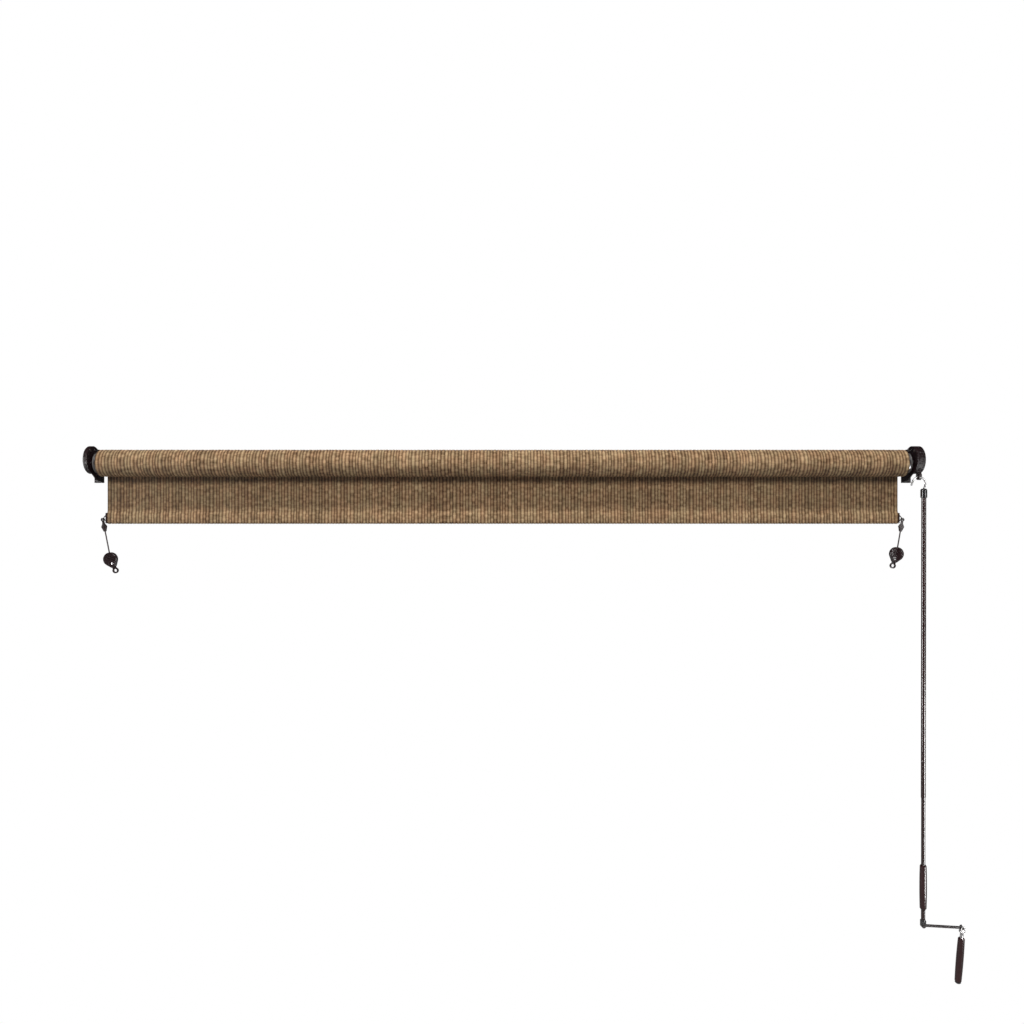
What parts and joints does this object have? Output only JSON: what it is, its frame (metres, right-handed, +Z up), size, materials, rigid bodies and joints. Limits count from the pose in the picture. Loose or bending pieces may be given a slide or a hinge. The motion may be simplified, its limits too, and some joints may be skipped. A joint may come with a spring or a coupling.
{
  "type": "outdoor roller shade",
  "caption": "Crank-operated outdoor roller shade with ribbed cloth, wall brackets, worm gear, hooked folding crank wand and corded hold-downs.",
  "frame": {"origin": "midway between the four screw slots of the two wall brackets, on the wall's face", "axes": "+X along the roller to the crank's end, +Y into the wall, +Z up"},
  "size_m": [2.6556, 0.112, 1.6152],
  "materials": {
    "bracket_metal": "satin dark brown",
    "case_plastic": "moulded dark brown",
    "cloth": "ribbed woven",
    "tube_metal": "mill finish",
    "plug_plastic": "moulded grey",
    "gear_metal": "cut",
    "bright_steel": "bright plated",
    "dark_steel": "blackened",
    "wand_paint": "gloss dark brown",
    "grip_plastic": "moulded red brown",
    "ferrule_plastic": "moulded black",
    "cord_cover": "braided elastic",
    "block_plastic": "moulded dark brown"
  },
  "bodies": {
    "root": {"left_bracket": "bracket_metal", "left_cover": "case_plastic", "case_screws": "bright_steel", "idler_pin": "gear_metal", "right_bracket": "bracket_metal", "gear_case": "case_plastic", "worm_bush": "plug_plastic"},
    "roller": {"roller_tube": "tube_metal", "idler_plug": "plug_plastic", "drive_plug": "plug_plastic", "fabric_roll": "cloth", "worm_wheel": "gear_metal"},
    "bar": {"fabric_panel": "cloth", "bottom_bar": "tube_metal", "bar_cap_left": "block_plastic", "bar_cap_right": "block_plastic", "bar_loop_left": "dark_steel", "bar_loop_right": "dark_steel"},
    "crank": {"crank_eye": "dark_steel"},
    "wand": {"wand_hook": "bright_steel", "wand_ferrule": "ferrule_plastic", "wand_upper_tube": "wand_paint", "wand_lower_tube": "wand_paint", "elbow_fork": "ferrule_plastic", "elbow_rivet": "dark_steel"},
    "upper_hand": {"middle_grip": "grip_plastic"},
    "arm": {"crank_arm": "dark_steel"},
    "handle": {"handle_rod": "bright_steel", "arm_rivet": "dark_steel", "handle_end": "ferrule_plastic"},
    "lower_hand": {"handle_grip": "grip_plastic"},
    "hold_down_left": {"hold_down_hook_left": "dark_steel", "hold_down_cord_left": "cord_cover", "hold_down_block_left": "block_plastic"},
    "hold_down_right": {"hold_down_hook_right": "dark_steel", "hold_down_cord_right": "cord_cover", "hold_down_block_right": "block_plastic"}
  },
  "joints": [
    {"name": "shade_drop", "type": "slide", "parent": "root", "child": "bar", "axis": [0, 0, -1], "range_m": [-0.1, 1.645], "deforming": ["fabric_panel"]},
    {"name": "roller_spin", "type": "hinge", "parent": "root", "child": "roller", "pos_m": [0, -0.06, 0.0075], "axis": [-1, 0, 0], "continuous": true},
    {"name": "crank_spin", "type": "hinge", "parent": "root", "child": "crank", "pos_m": [1.24962, -0.091, 0.0075], "axis": [0, 0, -1], "continuous": true},
    {"name": "wand_swing", "type": "hinge", "parent": "crank", "child": "wand", "pos_m": [1.24962, -0.091, -0.0357], "axis": [-1, 0, 0], "range_deg": [0, 60]},
    {"name": "middle_grip_spin", "type": "hinge", "parent": "wand", "child": "upper_hand", "pos_m": [1.26444, -0.091, -1.267], "axis": [0, 0, 1], "continuous": true},
    {"name": "arm_fold", "type": "hinge", "parent": "wand", "child": "arm", "pos_m": [1.26444, -0.091, -1.38268], "axis": [0, 1, 0], "range_deg": [0, 86.6]},
    {"name": "handle_fold", "type": "hinge", "parent": "arm", "child": "handle", "pos_m": [1.38223, -0.091, -1.38968], "axis": [0, -1, 0], "range_deg": [0, 91.1]},
    {"name": "handle_grip_spin", "type": "hinge", "parent": "handle", "child": "lower_hand", "pos_m": [1.38223, -0.091, -1.38968], "axis": [0.0785, 0, 0.9969], "continuous": true},
    {"name": "hold_down_left_swing", "type": "hinge", "parent": "bar", "child": "hold_down_left", "pos_m": [-1.234, -0.0176, -0.1635], "axis": [0, 1, 0], "range_deg": [-12, 30]},
    {"name": "hold_down_right_swing", "type": "hinge", "parent": "bar", "child": "hold_down_right", "pos_m": [1.234, -0.0176, -0.1635], "axis": [0, 1, 0], "range_deg": [-30, 12]}
  ],
  "couplings": [
    {"joint": "roller_spin", "follows": "crank_spin", "ratio": 0.071429}
  ]
}
